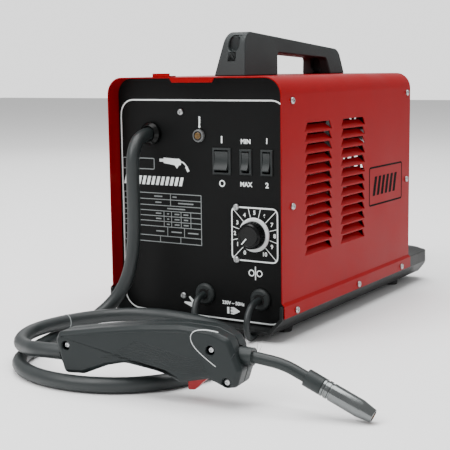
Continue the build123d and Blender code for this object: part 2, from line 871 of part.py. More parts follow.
def torch_outline():
    return [
        (-22, 49),
        (-18, 56.5, 4),
        (31, 65, 60),
        (74, 71.6, 60),
        (117, 75.5, 60),
        (150, 74, 20),
        (168, 67, 9),
        (180, 38, 5),
        (175, 22, 5),
        (164, 20, 5),
        (146, 27),
        (116, 20, 4),
        (100, 27, 9),
        (80, 30, 20),
        (56, 33, 25),
        (36, 28, 15),
        (10, 17, 8),
        (-12, 15.5, 6),
    ]


def torch_slab(low, high, points):
    return extrude(torch_plane.offset(low) * outline(points), amount=high - low)


def torch_shells():
    half = torch_thick / 2
    near = torch_slab(0, half, torch_outline())
    near = chamfer(near.faces().sort_by(Axis(torch_plane.origin, torch_plane.z_dir))[-1].edges(), torch_bevel)
    far = torch_slab(-half, 0, torch_outline())
    far = chamfer(far.faces().sort_by(Axis(torch_plane.origin, torch_plane.z_dir))[0].edges(), torch_bevel)
    hollow_points = [
        (-18, 33, 2),
        (-14, 50, 2),
        (31, 59, 60),
        (74, 66, 60),
        (117, 69, 40),
        (148, 67, 12),
        (160, 62, 4),
        (166, 44, 4),
        (146, 34, 4),
        (118, 26, 4),
        (80, 38, 10),
        (44, 34, 10),
        (8, 24, 4),
        (-12, 24, 2),
    ]
    hollow = torch_slab(-half + 4, half - 4, hollow_points)
    mouth = trigger_window()
    lead_hole = torch_rod((-40, torch_lead_height), (32, 0), torch_lead_size / 2 + 0.1)
    neck_hole = torch_rod((150, 49), (44, 0), neck_radius + 0.1)
    for place in torch_screw_places():
        start = torch_point(place[0], place[1], half + 1)
        near -= rod(start, torch_plane.z_dir * -1, 4.4, 6)
        near -= rod(start, torch_plane.z_dir * -1, 1.6, 25)
        far -= rod(start, torch_plane.z_dir * -1, 1.6, 25)
    pin = trigger_pin()
    collar = neck_collar()
    for opening in (hollow, mouth, lead_hole, neck_hole, pin, collar):
        near -= opening
        far -= opening
    return near, far


def torch_point(along, height, out=0.0):
    return torch_plane.origin + torch_plane.x_dir * along + torch_plane.y_dir * height + torch_plane.z_dir * out


def torch_rod(start, step, radius):
    a = torch_point(*start)
    b = torch_point(start[0] + step[0], start[1] + step[1])
    return rod(a, b - a, radius, (b - a).length)


def torch_screw_places():
    return ((149, 55), (165, 26), (-9, 44))


def torch_screws():
    screws = []
    half = torch_thick / 2
    for along, height in torch_screw_places():
        seat = torch_point(along, height, half - 5)
        screws.append(pan_head(seat, torch_plane.z_dir, radius=3.2, height=2.2, shank=16, shank_radius=1.5))
    return screws


def trigger_window():
    points = [(115.5, 8), (115.5, 40), (147.5, 43), (147.5, 8)]
    return torch_slab(-5.3, 5.3, points)


def torch_trigger():
    points = [(119.6, 11, 2), (120, 33), (143.5, 38), (144, 27, 2), (134, 19, 6), (127, 12, 4)]
    body = torch_slab(-4.8, 4.8, points)
    pin_hole = torch_point(*trigger_pivot, 10)
    return body - rod(pin_hole, torch_plane.z_dir * -1, trigger_pin_radius + bore_clearance, 20)


def trigger_pin():
    reach = torch_thick / 2 - 2
    return rod(torch_point(*trigger_pivot, reach), torch_plane.z_dir * -1, trigger_pin_radius, 2 * reach)


def swan_neck():
    points = [torch_point(158, 49), torch_point(186, 49), torch_point(216, 45), torch_point(239, 34.8)]
    radii = cord_radii(points)
    path = FilletPolyline(*points, radius=radii)
    neck = sweep(Plane(origin=path @ 0, z_dir=path % 0) * Circle(neck_radius), path=path)
    return neck + neck_collar()


def neck_collar():
    return torch_rod((172, 49), (14, 0), collar_radius)


def nozzle_axis():
    return Vector(237.5, 35.5), Vector(300.5, 6.9)


def nozzle_point(share):
    a, b = nozzle_axis()
    spot = a + (b - a) * share
    return torch_point(spot.X, spot.Y)


def nozzle_plane(share):
    return Plane(origin=nozzle_point(share), z_dir=nozzle_point(1) - nozzle_point(0))


def nozzle_parts():
    length = (nozzle_point(1) - nozzle_point(0)).length
    sleeve = 17.0
    taper = 13.0
    up = (Align.CENTER, Align.CENTER, Align.MIN)
    grip = nozzle_plane(0) * Cylinder(nozzle_radius - 0.2, sleeve, align=up)
    grip -= nozzle_plane(0) * Cylinder(neck_radius + 0.1, 6, align=up)
    barrel = nozzle_plane(0) * (
        Pos(0, 0, sleeve) * Cylinder(nozzle_radius, length - sleeve - taper, align=up)
        + Pos(0, 0, length - taper) * Cone(nozzle_radius, nozzle_mouth, taper, align=up)
    )
    barrel -= nozzle_plane(0) * (
        Pos(0, 0, sleeve + 3) * Cylinder(nozzle_radius - 1.2, length - sleeve - taper - 3, align=up)
        + Pos(0, 0, length - taper) * Cone(nozzle_radius - 1.2, nozzle_mouth - 1.2, taper, align=up)
    )
    tip = nozzle_plane(0) * (
        Pos(0, 0, sleeve + 3) * Cylinder(5.2, 14, align=up)
        + Pos(0, 0, sleeve + 17) * Cylinder(3, length - sleeve - 19, align=up)
    )
    tip -= nozzle_plane(0) * (Pos(0, 0, sleeve) * Cylinder(0.6, length, align=up))
    return grip, barrel, tip


# ------------------------------------------------------------------ leads
def cord_radii(points):
    radii = []
    for index in range(1, len(points) - 1):
        before = points[index] - points[index - 1]
        after = points[index + 1] - points[index]
        turn = radians(before.get_angle(after))
        radii.append(0.45 * min(before.length, after.length) / tan(turn / 2))
    return radii


def lead(name, route, size):
    points = [Vector(*point) for point in route]
    radii = cord_radii(points)
    path = FilletPolyline(*points, radius=radii)
    body = sweep(Plane(origin=path @ 0, z_dir=path % 0) * Circle(size / 2), path=path)
    ideal = pi * size**2 / 4 * path.length
    rounded = [round(radius) for radius in radii]
    print(name, "length", round(path.length), "radii", rounded, "volume ratio", round(body.volume / ideal, 4))
    keep(name, body)


torch_lead_route = [
    (inlet_x, panel_face + seat_depth, inlet_z),
    (inlet_x, -226, inlet_z),
    (-67, -245, 216),
    (-66, -248, 185),
    (-65, -248, 140),
    (-67, -249, 96),
    (-76, -250, 62),
    (-90, -258, 36),
    (-106, -280, 16),
    (-113, -307, 8.2),
    (-110, -345, 8.2),
    (-99, -385, 8.2),
    (-90, -422, 8.2),
    (-66, -455, 8.2),
    (-24, -475, 8.2),
    (28, -477, 8.2),
    (76, -458, 8.2),
    (109, -419, 8.2),
    (121, -366, 8.2),
    (118, -314, 10),
    (96, -276, 15),
    (55, -256, 22),
    (2, -254, 25.5),
    (-42, -257, 25.5),
    (-76, -276, 25),
    (-99, -312, 24.8),
    (-110, -352, 24.8),
    (-108, -392, 24.8),
    (-88, -428, 25),
    (-58, -449, 27),
    torch_point(-52, torch_lead_height),
    torch_point(-8, torch_lead_height),
]

earth_lead_route = [
    (earth_x, panel_face + seat_depth, earth_z),
    (earth_x, -218, earth_z),
    (6, -229, 35),
    (9, -234, 18),
    (8, -231.5, 5),
    (3, -212, 4.2),
    (-8, -175, 4.2),
    (-22, -110, 4.2),
    (-26, -20, 4.2),
    (-24, 80, 4.2),
    (-34, 165, 4.2),
    (-48, 220, 4.2),
    (-62, 262, 4.2),
    (-66, 300, 4.2),
    (-64.5, 331, 4.2),
]

mains_lead_route = [
    (mains_x, panel_face + seat_depth, mains_z),
    (mains_x, -222, mains_z),
    (82.3, -236, 34),
    (83, -240.5, 18),
    (81.5, -232, 5),
    (77, -212, 4),
    (64, -178, 4),
    (46, -118, 4),
    (40, -30, 4),
    (43, 60, 4),
    (52, 140, 4),
    (56, 205, 4),
    (53, 262, 4),
    (47, 326, 4),
]
earth_coil_x, earth_coil_y, earth_coil_radius = -108.0, 362.0, 44.0
mains_coil_x, mains_coil_y, mains_coil_radius = 6.0, 357.0, 41.0


def coil(x, y, radius, size, turns_across, layers):
    half = turns_across * size / 2
    ring = tube((x, y, 0.2), (0, 0, 1), radius + half, radius - half, layers * size)
    return chamfer(ring.edges(), size * 0.2)


def mains_plug():
    x = mains_coil_x - mains_coil_radius
    start = mains_coil_y - 28
    height = 19.0
    up = (Align.CENTER, Align.CENTER, Align.MIN)
    place = Plane(origin=(x, start, height), z_dir=(0, -1, 0))
    body = place * (
        Cone(5.5, 8, 14, align=up)
        + Pos(0, 0, 14) * Cone(8, 18.5, 14, align=up)
        + Pos(0, 0, 28) * Cylinder(18.5, 16, align=up)
    )
    for side in (-1, 1):
        body += place * (Pos(side * 9.5, 0, 44) * Cylinder(2.4, 19, align=up))
    return body


# the clamp lies on its side beyond its coil, jaws towards -X
clamp_start = earth_coil_x - 50.0
tail_run = 21.0
clamp_y = earth_coil_y + earth_coil_radius + 8.0
clamp_pin_x = clamp_start - 56.0
clamp_height = 24.0
clamp_base = 0.4
clamp_pin = 2.5


def clamp_jaw(side):
    points = [
        (clamp_start, clamp_y + side * 17, 2),
        (clamp_start - 52, clamp_y + side * 9, 8),
        (clamp_start - 98, clamp_y + side * 8, 3),
        (clamp_start - 100, clamp_y + side * 1.2),
        (clamp_start - 66, clamp_y + side * 3.2),
        (clamp_start - 46, clamp_y + side * 4.0),
        (clamp_start - 2, clamp_y + side * 10.0),
    ]
    return along_z(points, clamp_base, clamp_base + clamp_height)


def clamp_band(radius, low, high):
    return rod((clamp_pin_x, clamp_y, clamp_base + low), (0, 0, 1), radius, high - low)


def clamp_lower_jaw():
    jaw = clamp_jaw(-1) - clamp_band(6.2, 8.6, 15.4)
    jaw += clamp_band(5.5, 4, 8.4) + clamp_band(5.5, 15.6, 20)
    jaw += clamp_band(clamp_pin, 1, 23)
    cord_y = clamp_y - 8
    barrel = rod((clamp_start, cord_y, 12.4), (-1, 0, 0), 5.5, 26)
    return jaw + barrel


def clamp_upper_jaw():
    jaw = clamp_jaw(1) - clamp_band(7.2, 3.8, 8.6) - clamp_band(7.2, 15.4, 20.2)
    jaw += clamp_band(5.5, 8.8, 15.2)
    return jaw - clamp_band(clamp_pin + bore_clearance, 0, clamp_height)


def earth_lead_tail():
    start = (clamp_start + tail_run, clamp_y - 8, 12.4)
    return rod(start, (-1, 0, 0), earth_lead_size / 2, tail_run)


# ------------------------------------------------------------------ assembly
keep("base_tray", base_tray())
keep("rubber_feet", *rubber_feet())
keep("front_panel", front_panel())
keep("rear_panel", rear_panel())
keep("wraparound_cover", wraparound_cover())
keep("side_door", side_door())
keep("door_hinges", *door_hinges())
keep("door_latch", door_latch())
keep("top_bracket", top_bracket())
keep("case_screws", *case_screws())
keep("divider_plate", divider_plate())
keep("carry_handle", carry_handle())
keep("handle_bolts", *handle_bolts())

keep("torch_inlet_bush", torch_inlet_bush())
keep("earth_lead_gland", bushing(earth_x, earth_z, gland_radius, gland_hole, gland_height))
keep("mains_lead_gland", bushing(mains_x, mains_z, gland_radius, gland_hole, gland_height))
keep("switch_bodies", *[switch_body(x, bezel) for x, bezel in switch_places()])
for rocker_name, place in zip(("main_rocker", "power_rocker", "range_rocker"), switch_places()):
    keep(rocker_name, rocker(*place))
keep("lamp_bezel", lamp_bezel())
keep("lamp_lens", lamp_lens())
keep("dial_plate", dial_plate())
knob_skirt, knob_grip = dial_knob()
keep("knob_skirt", knob_skirt)
keep("speed_knob", knob_grip + potentiometer_shaft())
keep("potentiometer", potentiometer())

keep("transformer_core", transformer_core())
keep("transformer_windings", *transformer_windings())
keep("rectifier", rectifier())
keep("choke", *choke())
keep("fan_frame", fan_frame())
keep("fan_motor", fan_motor())
keep("fan_rotor", fan_rotor())
keep("control_board", control_board())

keep("feed_plate", feed_plate())
keep("feed_motor", feed_motor())
keep("drive_roll", drive_roll())
keep("pressure_arm", pressure_arm())
keep("pressure_roll", pressure_roll())
keep("tension_screw", tension_screw())
keep("spool_hub", spool_hub())
keep("wire_spool", wire_spool())
keep("spool_wire", spool_wire())
keep("gas_inlet", gas_inlet())

shell_near, shell_far = torch_shells()
keep("torch_shell_near", shell_near)
keep("torch_shell_far", shell_far)
keep("torch_trigger", torch_trigger())
keep("torch_fasteners", *torch_screws(), trigger_pin())
keep("swan_neck", swan_neck())
insulator, nozzle, contact_tip = nozzle_parts()
keep("nozzle_insulator", insulator)
keep("gas_nozzle", nozzle)
keep("contact_tip", contact_tip)

lead("torch_lead", torch_lead_route, torch_lead_size)
lead("earth_lead", earth_lead_route, earth_lead_size)
lead("mains_lead", mains_lead_route, mains_lead_size)
keep("earth_lead", pieces["earth_lead"], earth_lead_tail())
keep("earth_lead_coil", coil(earth_coil_x, earth_coil_y, earth_coil_radius, earth_lead_size, 3, 2))
keep("mains_lead_coil", coil(mains_coil_x, mains_coil_y, mains_coil_radius, mains_lead_size, 3, 2))
keep("mains_plug", mains_plug())
keep("clamp_lower_jaw", clamp_lower_jaw())
keep("clamp_upper_jaw", clamp_upper_jaw())

limp = ("lead", "coil", "plug", "clamp")
firm = [shape.bounding_box() for name, shape in pieces.items() if not any(word in name for word in limp)]
firm += [pieces[name].bounding_box() for name in ("earth_lead_gland", "mains_lead_gland")]
middle_x = round((min(box.min.X for box in firm) + max(box.max.X for box in firm)) / 2)
middle_y = round((min(box.min.Y for box in firm) + max(box.max.Y for box in firm)) / 2)
for name, shape in pieces.items():
    export_step(Pos(-middle_x, -middle_y, 0) * shape, f"parts/{name}.step")
print(len(pieces), "nodes written, origin at", middle_x, middle_y)
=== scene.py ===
import json
from math import cos, pi, radians, sin

import bmesh
import bpy
from mathutils import Matrix, Vector


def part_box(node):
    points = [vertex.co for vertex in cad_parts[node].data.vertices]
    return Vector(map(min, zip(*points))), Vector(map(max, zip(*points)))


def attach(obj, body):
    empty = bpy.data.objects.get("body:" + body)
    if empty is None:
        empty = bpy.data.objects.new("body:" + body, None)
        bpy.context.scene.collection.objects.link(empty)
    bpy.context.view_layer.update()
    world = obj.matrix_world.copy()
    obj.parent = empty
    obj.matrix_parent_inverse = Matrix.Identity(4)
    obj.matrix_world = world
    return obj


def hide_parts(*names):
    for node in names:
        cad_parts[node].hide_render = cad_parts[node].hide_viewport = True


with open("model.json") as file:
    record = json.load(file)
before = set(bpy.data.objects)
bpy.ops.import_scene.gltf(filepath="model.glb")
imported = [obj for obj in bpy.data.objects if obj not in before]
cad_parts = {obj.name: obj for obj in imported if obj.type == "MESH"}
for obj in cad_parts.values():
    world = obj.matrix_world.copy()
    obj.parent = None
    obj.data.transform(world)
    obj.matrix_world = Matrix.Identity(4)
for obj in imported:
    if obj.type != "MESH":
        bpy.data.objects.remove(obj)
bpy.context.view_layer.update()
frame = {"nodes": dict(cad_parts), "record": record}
mm = 0.001
record = frame["record"]
panelLow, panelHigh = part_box("front_panel")
panelFace = panelLow.y
caseOrigin = Vector(((panelLow.x + panelHigh.x) / 2, panelFace + 0.2025, 0))  # the middle of the feet
slotOf = {part["node"]: part["material_slot"] for part in record["subparts"]}
print("stage: frame loaded")


# finishes: every pattern reads Object coordinates, in metres
class Wire:
    # a socket that can stand in a sum
    def __init__(self, finish, socket):
        self.finish = finish
        self.socket = socket

    def __add__(self, other):
        return self.finish.maths("ADD", self, other)

    def __radd__(self, other):
        return self.finish.maths("ADD", other, self)

    def __mul__(self, other):
        return self.finish.maths("MULTIPLY", self, other)

    def __rmul__(self, other):
        return self.finish.maths("MULTIPLY", other, self)


class Finish:
    def __init__(self, name, colour, fixed):
        self.material = bpy.data.materials.new(name)
        self.material.use_nodes = True
        self.tree = self.material.node_tree
        self.shader = self.tree.nodes["Principled BSDF"]
        self.material.diffuse_color = (*colour[:3], 1.0)
        self.colour = (*colour[:3], 1.0)
        self.shader.inputs["Base Color"].default_value = self.colour
        for socket, value in fixed.items():
            self.shader.inputs[socket].default_value = value
        self.place = self.node("TexCoord", output="Object")

    def node(self, kind, sockets=None, settings=None, output=0):
        made = self.tree.nodes.new("ShaderNode" + kind)
        for key, value in (settings or {}).items():
            if key == "stops":
                for stop, (position, colour) in zip(made.color_ramp.elements, value):
                    stop.position = position
                    stop.color = colour
            else:
                setattr(made, key, value)
        for key, value in (sockets or {}).items():
            self.feed(made.inputs[key], value)
        return Wire(self, made.outputs[output])

    def feed(self, socket, value):
        if isinstance(value, Wire):
            self.tree.links.new(value.socket, socket)
        else:
            socket.default_value = value

    def maths(self, operation, first, second):
        return self.node("Math", {0: first, 1: second}, {"operation": operation})

    def noise(self, scale, detail=2.0, place=None):
        return self.node("TexNoise", {"Vector": place or self.place, "Scale": scale, "Detail": detail})

    def stretched(self, x, y, z):
        return self.node("Mapping", {"Vector": self.place, "Scale": (x, y, z)})

    def mixed(self, factor, first, second):
        return self.node("Mix", {0: factor, 6: first, 7: second}, {"data_type": "RGBA"}, output=2)

    def ramp(self, factor, low, high):
        stops = ((low, (0, 0, 0, 1)), (high, (1, 1, 1, 1)))
        return self.node("ValToRGB", {0: factor}, {"stops": stops})

    def bump(self, height, distance, strength=1.0):
        normal = self.node("Bump", {"Height": height, "Distance": distance, "Strength": strength})
        self.feed(self.shader.inputs["Normal"], normal)

    def tint(self, factor, amount):
        darker = tuple(c * (1 - amount) for c in self.colour[:3]) + (1,)
        lighter = tuple(min(1, c * (1 + amount)) for c in self.colour[:3]) + (1,)
        self.feed(self.shader.inputs["Base Color"], self.mixed(factor, darker, lighter))

    def rough(self, factor, low, high):
        self.feed(self.shader.inputs["Roughness"], factor * (high - low) + low)


def powderCoat(name, colour, roughness, grain=700.0, depth=0.05, shine=0.5):
    made = Finish(name, colour, {"Specular IOR Level": shine})
    peel = made.noise(grain, 3.0)
    smudge = made.noise(14.0, 4.0)
    made.tint(made.noise(55.0, 5.0) * 0.5 + smudge * 0.5, 0.12)
    made.rough(made.ramp(smudge, 0.3, 0.75), roughness - 0.06, roughness + 0.08)
    made.bump(peel, depth * mm)
    return made


def mouldedPlastic(name, colour, roughness, grain=1500.0, depth=0.12, shine=0.3):
    made = Finish(name, colour, {"Specular IOR Level": shine})
    pebbles = made.node("TexVoronoi", {"Vector": made.place, "Scale": grain}, output="Distance")
    smudge = made.noise(22.0, 5.0)
    made.tint(made.noise(90.0, 4.0) * 0.4 + smudge * 0.6, 0.16)
    made.rough(made.ramp(smudge, 0.3, 0.7), roughness - 0.07, roughness + 0.07)
    made.bump(pebbles, depth * mm)
    return made


def platedMetal(name, colour, roughness, brushed=(1.0, 1.0, 1.0), depth=0.02, metallic=1.0):
    made = Finish(name, colour, {"Metallic": metallic})
    lines = made.noise(600.0, 4.0, made.stretched(*brushed))
    cloud = made.noise(35.0, 4.0)
    made.tint(lines * 0.5 + cloud * 0.5, 0.14)
    made.rough(made.ramp(cloud, 0.3, 0.7), roughness - 0.06, roughness + 0.1)
    made.bump(lines, depth * mm)
    return made


def woundCopper(name, colour, pitch, axis, roughness=0.3):
    # turns of wire side by side: one band of the wave for each turn
    made = Finish(name, colour, {"Metallic": 0.85})
    turns = made.node(
        "TexWave",
        {
            "Vector": made.place,
            "Scale": 2 * pi / (20 * pitch),
            "Distortion": 0.4,
            "Detail": 1.0,
            "Detail Scale": 3.0,
        },
        {"bands_direction": axis, "wave_profile": "SIN"},
    )
    made.tint(turns * 0.7 + made.noise(60.0) * 0.3, 0.45)
    made.rough(turns, roughness + 0.15, roughness)
    made.bump(turns, pitch * 0.4)
    return made


def rubberSheath(name, colour, roughness):
    made = Finish(name, colour, {"Specular IOR Level": 0.5})
    scuff = made.noise(40.0, 6.0)
    made.tint(scuff, 0.2)
    made.rough(made.ramp(scuff, 0.35, 0.7), roughness - 0.06, roughness + 0.08)
    made.bump(made.noise(1100.0, 2.0), 0.05 * mm)
    return made


def circuitBoard(name, colour):
    made = Finish(name, colour, {"Coat Weight": 0.4})
    tracks = made.node(
        "TexBrick",
        {
            "Vector": made.place,
            "Scale": 160.0,
            "Mortar Size": 0.04,
            "Color1": (1, 1, 1, 1),
            "Color2": (0, 0, 0, 1),
        },
        output="Fac",
    )
    made.tint(tracks, 0.5)
    made.rough(tracks, 0.3, 0.5)
    made.bump(tracks, 0.04 * mm)
    return made


def printedInk(name, colour):
    made = Finish(name, colour, {"Roughness": 0.55})
    made.tint(made.noise(400.0, 3.0), 0.06)
    made.bump(made.noise(2200.0), 0.01 * mm)
    return made


finishes = {
    "black_coat": powderCoat("blackCoat", (0.006, 0.0068, 0.0068), 0.45, 1300.0, 0.08, 0.22),
    "panel_black": powderCoat("panelBlack", (0.0035, 0.0038, 0.0038), 0.5, 1400.0, 0.06, 0.12),
    "red_coat": powderCoat("redCoat", (0.245, 0.0012, 0.0035), 0.34, 650.0, 0.035, 0.06),
    "rubber": rubberSheath("footRubber", (0.02, 0.02, 0.02), 0.75),
    "zinc": platedMetal("zincPlate", (0.55, 0.56, 0.57), 0.3, (1, 1, 0.3)),
    "plated_screw": platedMetal("screwPlate", (0.42, 0.43, 0.43), 0.3),
    "knob_ring": printedInk("knobRing", (0.80, 0.83, 0.83)),
    "black_plastic": mouldedPlastic("blackPlastic", (0.017, 0.0205, 0.0205), 0.5, 1800.0, 0.05),
    "rocker_black": mouldedPlastic("rockerPlastic", (0.02, 0.0235, 0.0235), 0.38, 2200.0, 0.03),
    "handle_plastic": mouldedPlastic("handlePlastic", (0.019, 0.024, 0.0245), 0.52, 1100.0, 0.16),
    "grey_plastic": mouldedPlastic("lampPlastic", (0.13, 0.135, 0.135), 0.3, 2200.0, 0.02),
    "dial_face": powderCoat("dialFace", (0.0035, 0.0038, 0.0038), 0.42, 1400.0, 0.03, 0.12),
    "knob_plastic": mouldedPlastic("knobPlastic", (0.003, 0.0033, 0.0033), 0.22, 2400.0, 0.01, 0.18),
    "core_steel": platedMetal("coreLaminations", (0.10, 0.10, 0.11), 0.5, (1, 40, 1), 0.2, 0.8),
    "copper_enamel": woundCopper("windingEnamel", (0.35, 0.10, 0.04), 1.6 * mm, "Z"),
    "heat_sink": platedMetal("heatSink", (0.62, 0.63, 0.64), 0.32, (1, 0.05, 1)),
    "fan_plastic": mouldedPlastic("fanPlastic", (0.02, 0.02, 0.022), 0.5),
    "circuit_green": circuitBoard("circuitGreen", (0.01, 0.09, 0.035)),
    "feed_cast": platedMetal("castAlloy", (0.5, 0.5, 0.51), 0.45, (1, 1, 1), 0.15),
    "motor_steel": platedMetal("motorSteel", (0.42, 0.43, 0.44), 0.35, (0.1, 1, 1)),
    "turned_steel": platedMetal("turnedSteel", (0.55, 0.55, 0.55), 0.25, (8, 1, 1), 0.03),
    "spool_plastic": mouldedPlastic("spoolPlastic", (0.03, 0.03, 0.033), 0.4),
    "copper_wire": woundCopper("copperWire", (0.75, 0.33, 0.17), 0.8 * mm, "X", 0.22),
    "brass": platedMetal("turnedBrass", (0.62, 0.43, 0.16), 0.28),
    "torch_plastic": mouldedPlastic("torchPlastic", (0.0085, 0.0125, 0.013), 0.45, 1500.0, 0.08),
    "trigger_red": mouldedPlastic("triggerRed", (0.30, 0.003, 0.006), 0.35, 2000.0, 0.02),
    "neck_sleeve": mouldedPlastic("neckSleeve", (0.0165, 0.021, 0.021), 0.36, 2000.0, 0.03),
    "nozzle_chrome": platedMetal("nozzlePlate", (0.17, 0.18, 0.18), 0.16, (1, 1, 1), 0.02),
    "lead_rubber": rubberSheath("leadRubber", (0.0125, 0.0165, 0.017), 0.48),
}
clear = {"Roughness": 0.12, "Transmission Weight": 0.35, "IOR": 1.5}
lens = Finish("amberLens", (0.16, 0.08, 0.008), clear)
lens.tint(lens.noise(500.0), 0.35)
lens.bump(lens.node("TexVoronoi", {"Vector": lens.place, "Scale": 700.0}), 0.2 * mm)
finishes["amber_lens"] = lens
inkWhite = printedInk("inkWhite", (0.86, 0.90, 0.89))
inkGrey = printedInk("inkGrey", (0.22, 0.24, 0.24))
inkBlack = powderCoat("badgeBlack", (0.004, 0.004, 0.004), 0.6, 900.0, 0.02, 0.03)
# painted shade: one flat black finish laid over holes and gaps where only shade falls
shadowBlack = mouldedPlastic("paintedRecessShade", (0.004, 0.004, 0.004), 0.8)
# painted highlight: a light grey finish for the glint along the step edge on the torch shell
paintedStepHighlight = printedInk("paintedStepHighlight", (0.62, 0.65, 0.65))
print("stage: finishes made")


# helpers for pieces
def put(bm, name, finish, body, smooth=32, replaces=()):
    mesh = bpy.data.meshes.new(name)
    bm.to_mesh(mesh)
    bm.free()
    return putMesh(mesh, name, finish, body, smooth, replaces)


def putMesh(mesh, name, finish, body, smooth=32, replaces=()):
    mesh.materials.clear()
    mesh.materials.append(finish.material)
    for face in mesh.polygons:
        face.use_smooth = True
    mesh.set_sharp_from_angle(angle=radians(smooth))
    piece = bpy.data.objects.new(name, mesh)
    bpy.context.collection.objects.link(piece)
    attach(piece, body)
    if replaces:
        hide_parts(*replaces)
    return piece


def softened(node, width, segments=2, angle=28):
    # the CAD shape with its sharp edges rounded
    bm = bmesh.new()
    bm.from_mesh(frame["nodes"][node].data)
    bmesh.ops.remove_doubles(bm, verts=bm.verts, dist=0.004 * mm)
    bmesh.ops.dissolve_limit(bm, angle_limit=radians(0.6), verts=bm.verts, edges=bm.edges)
    sharp = [edge for edge in bm.edges if edge.is_manifold and edge.calc_face_angle() > radians(angle)]
    bmesh.ops.bevel(
        bm,
        geom=sharp,
        offset=width * mm,
        offset_type="OFFSET",
        segments=segments,
        profile=0.5,
        affect="EDGES",
        material=-1,
        clamp_overlap=False,
    )
    return bm


def bodyOf(node):
    for name, nodes in record["behaviour"]["bodies"].items():
        if node in nodes:
            return name


def curveMesh(curve, place):
    # a curve or text made a mesh, then put in its place
    carrier = bpy.data.objects.new("carrier", curve)
    mesh = bpy.data.meshes.new_from_object(carrier)
    bpy.data.objects.remove(carrier)
    mesh.transform(place)
    return mesh


def joined(meshes):
    bm = bmesh.new()
    for mesh in meshes:
        bm.from_mesh(mesh)
    return bm


def stroke(points, width, closed=False):
    # a flat printed line through points given in mm
    curve = bpy.data.curves.new("stroke", "CURVE")
    curve.dimensions = "3D"
    spline = curve.splines.new("POLY")
    spline.points.add(len(points) - 1)
    for corner, (x, y) in zip(spline.points, points):
        corner.co = (x * mm, y * mm, 0, 1)
    spline.use_cyclic_u = closed
    curve.bevel_depth = width * mm / 2
    curve.bevel_resolution = 1
    curve.use_fill_caps = True
    return curve


def filled(points, holes=()):
    # a flat printed shape
    curve = bpy.data.curves.new("filled", "CURVE")
    curve.dimensions = "2D"
    curve.fill_mode = "BOTH"
    curve.extrude = 0.02 * mm
    for ring in (points, *holes):
        spline = curve.splines.new("POLY")
        spline.points.add(len(ring) - 1)
        for corner, (x, y) in zip(spline.points, ring):
            corner.co = (x * mm, y * mm, 0, 1)
        spline.use_cyclic_u = True
    return curve


def words(text, size):
    # generic lettering centred on its own middle
    curve = bpy.data.curves.new("words", "FONT")
    curve.body = text
    curve.size = size * mm
    curve.align_x = "CENTER"
    curve.align_y = "CENTER"
    curve.extrude = 0.02 * mm
    curve.offset = size * 0.034 * mm
    return curve


def circlePoints(x, y, radius, count=32, start=0.0, sweep=360.0):
    steps = count if sweep >= 360 else count - 1
    turns = [radians(start + sweep * index / steps) for index in range(count)]
    return [(x + radius * cos(turn), y + radius * sin(turn)) for turn in turns]


def roundedBox(left, right, low, high, radius, steps=6):
    corners = ((right - radius, high - radius, 0), (left + radius, high - radius, 90))
    corners += ((left + radius, low + radius, 180), (right - radius, low + radius, 270))
    points = []
    for x, y, start in corners:
        points += circlePoints(x, y, radius, steps, start, 90)
    return points


# CAD nodes: rounded copies where an edge would look too sharp, the rest with their finish only
softening = {
    "carry_handle": 1.8,
    "base_tray": 0.8,
    "torch_shell_near": 1.3,
    "torch_shell_far": 1.3,
    "torch_trigger": 0.7,
    "main_rocker": 0.7,
    "power_rocker": 0.6,
    "range_rocker": 0.6,
    "switch_bodies": 0.25,
    "lamp_bezel": 0.3,
    "torch_inlet_bush": 0.5,
    "earth_lead_gland": 0.5,
    "mains_lead_gland": 0.5,
    "door_latch": 0.6,
    "top_bracket": 0.3,
    "wraparound_cover": 0.15,
    "side_door": 0.3,
    "front_panel": 0.15,
    "rear_panel": 0.15,
    "dial_plate": 0.15,
    "swan_neck": 0.5,
    "nozzle_insulator": 0.4,
    "mains_plug": 0.8,
    "clamp_lower_jaw": 0.8,
    "clamp_upper_jaw": 0.8,
    "rubber_feet": 0.6,
    "case_screws": 0.1,
    "door_hinges": 0.2,
    "transformer_windings": 1.5,
    "transformer_core": 0.4,
    "fan_frame": 0.5,
    "fan_rotor": 0.2,
    "feed_plate": 0.4,
    "feed_motor": 0.6,
    "drive_roll": 0.3,
    "pressure_arm": 0.5,
    "pressure_roll": 0.3,
    "tension_screw": 0.3,
    "spool_hub": 0.5,
    "wire_spool": 0.4,
    "spool_wire": 0.4,
    "potentiometer": 0.3,
    "gas_inlet": 0.2,
    "choke": 0.5,
    "fan_motor": 0.6,
    "torch_fasteners": 0.1,
    "contact_tip": 0.1,
    "handle_bolts": 0.3,
    "rectifier": 0.1,
    "control_board": 0.15,
    "divider_plate": 0.15,
}
ownFinish = {"torch_inlet_bush": "knob_plastic"}
looks = {}
for node, width in softening.items():
    finish = finishes[ownFinish.get(node, slotOf[node])]
    segments = 3 if width >= 0.8 else 2
    soft = softened(node, width, segments)
    looks[node] = put(soft, node + "_look", finish, bodyOf(node), 34, (node,))
    weighted = looks[node].modifiers.new("even", "WEIGHTED_NORMAL")
    weighted.keep_sharp = True
for node, piece in frame["nodes"].items():
    for index in range(max(1, len(piece.data.materials))):
        if not piece.data.materials:
            piece.data.materials.append(None)
        piece.material_slots[index].material = finishes[slotOf[node]].material
print("stage: CAD nodes dressed")


# printing on the front panel, laid out in mm across and up the panel
prints = {"proud": 0.06, "line": 1.7}


def onPanel(curve, x=0.0, z=0.0, proud=prints["proud"], flatten=0.06):
    # across -> X, up -> Z, thickness squeezed against the panel
    squeeze = Matrix.Diagonal((1, 1, flatten, 1))
    stand = Matrix.Rotation(radians(90), 4, "X")
    place = Matrix.Translation((caseOrigin.x + x * mm, panelFace - proud * mm, z * mm))
    return curveMesh(curve, place @ stand @ squeeze)


def middleOf(node):
    # across the panel from its middle, and up from the floor, in mm
    low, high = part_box(node)
    return ((low.x + high.x) / 2 - caseOrigin.x) / mm, (low.z + high.z) / 2 / mm


